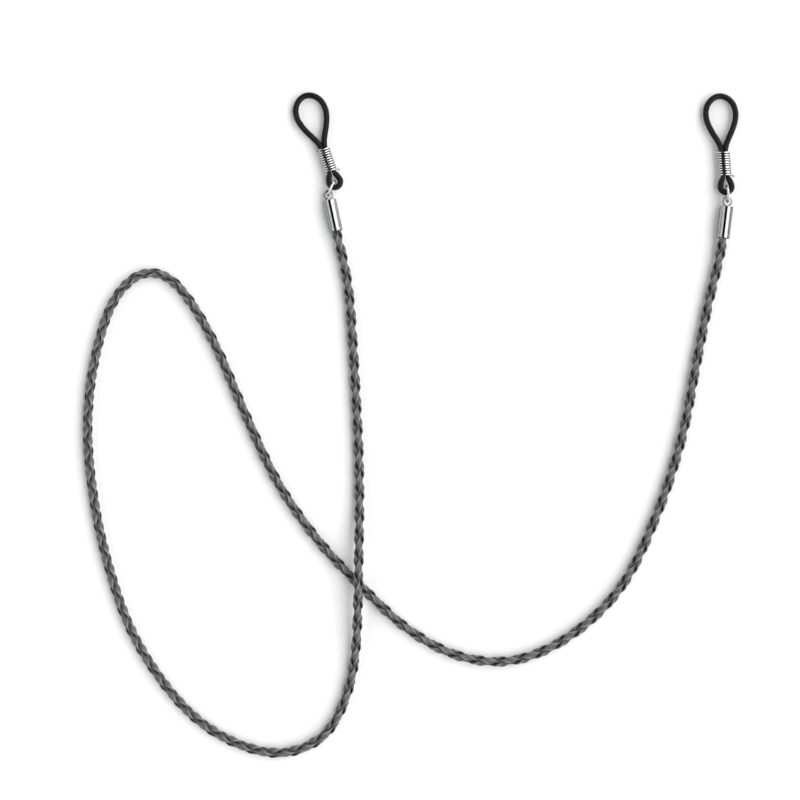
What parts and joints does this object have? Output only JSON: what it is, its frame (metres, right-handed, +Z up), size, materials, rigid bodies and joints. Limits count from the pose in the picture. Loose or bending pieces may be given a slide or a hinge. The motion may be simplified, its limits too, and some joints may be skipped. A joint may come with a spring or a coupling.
{
  "type": "eyeglasses strap",
  "caption": "Braided leather eyeglasses strap with a metal cap, jump ring and adjustable rubber temple loop at each end.",
  "frame": {"origin": "on the table that the strap lies on, midway between the two end fittings", "axes": "+Z up from the table; +X from the left end fitting to the right one; +Y the way the temple loops point, away from the cord"},
  "size_m": [0.1896, 0.1925, 0.0063],
  "materials": {
    "braid_leather": "satin",
    "cap_nickel": "polished",
    "wire_steel": "polished",
    "loop_rubber": "satin",
    "glue": "matte"
  },
  "bodies": {
    "strap": {"braided_cord": "braid_leather", "left_end_cap": "cap_nickel", "left_glue_plug": "glue", "left_cap_eyelet": "cap_nickel", "right_end_cap": "cap_nickel", "right_glue_plug": "glue", "right_cap_eyelet": "cap_nickel"},
    "left_ring": {"left_jump_ring": "wire_steel"},
    "left_loop": {"left_rubber_loop": "loop_rubber"},
    "left_slider": {"left_spring_coil": "wire_steel"},
    "right_ring": {"right_jump_ring": "wire_steel"},
    "right_loop": {"right_rubber_loop": "loop_rubber"},
    "right_slider": {"right_spring_coil": "wire_steel"}
  },
  "joints": [
    {"name": "left_ring_swing", "type": "hinge", "parent": "strap", "child": "left_ring", "pos_m": [-0.054, -0.00864, 0.00191], "axis": [0, 0, 1], "range_deg": [-40, 60]},
    {"name": "left_loop_swing", "type": "hinge", "parent": "left_ring", "child": "left_loop", "pos_m": [-0.05217, -0.00472, 0.00191], "axis": [0, 0, 1], "range_deg": [-80, 30]},
    {"name": "left_coil_slide", "type": "slide", "parent": "left_loop", "child": "left_slider", "axis": [-0.3255, 0.9453, -0.0209], "range_m": [0, 0.006], "deforming": ["left_rubber_loop"]},
    {"name": "right_ring_swing", "type": "hinge", "parent": "strap", "child": "right_ring", "pos_m": [0.06129, -0.01047, 0.00191], "axis": [0, 0, 1], "range_deg": [-60, 60]},
    {"name": "right_loop_swing", "type": "hinge", "parent": "right_ring", "child": "right_loop", "pos_m": [0.06092, -0.00616, 0.00191], "axis": [0, 0, 1], "range_deg": [-60, 60]},
    {"name": "right_coil_slide", "type": "slide", "parent": "right_loop", "child": "right_slider", "axis": [-0.0697, 0.9973, -0.0209], "range_m": [0, 0.006], "deforming": ["right_rubber_loop"]}
  ]
}
